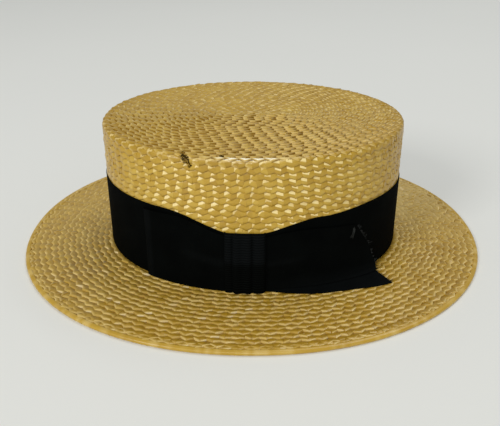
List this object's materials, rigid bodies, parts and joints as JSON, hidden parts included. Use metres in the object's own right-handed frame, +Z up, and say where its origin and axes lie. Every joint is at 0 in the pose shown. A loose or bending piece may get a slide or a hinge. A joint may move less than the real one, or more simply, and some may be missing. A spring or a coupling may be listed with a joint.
{
  "type": "straw boater hat",
  "caption": "Stiff straw hat with a flat oval crown, a flat brim, a wide dark ribbon round the crown and a flat bow at the side.",
  "frame": {"origin": "centre of the brim's underside, on which the hat rests", "axes": "+Z up through the crown; -X towards the wearer's front; the bow is on the -Y side, the wearer's left"},
  "size_m": [0.3206, 0.2838, 0.0883],
  "materials": {
    "straw": "golden straw plait, sewn in overlapping toothed rows, with a worn glossy lacquer",
    "ribbon": "black ribbed grosgrain ribbon, matte"
  },
  "bodies": {
    "root": {"crown": "straw", "brim": "straw", "hat_band": "ribbon", "bow_loop": "ribbon", "bow_tail": "ribbon", "bow_knot": "ribbon"}
  },
  "joints": []
}
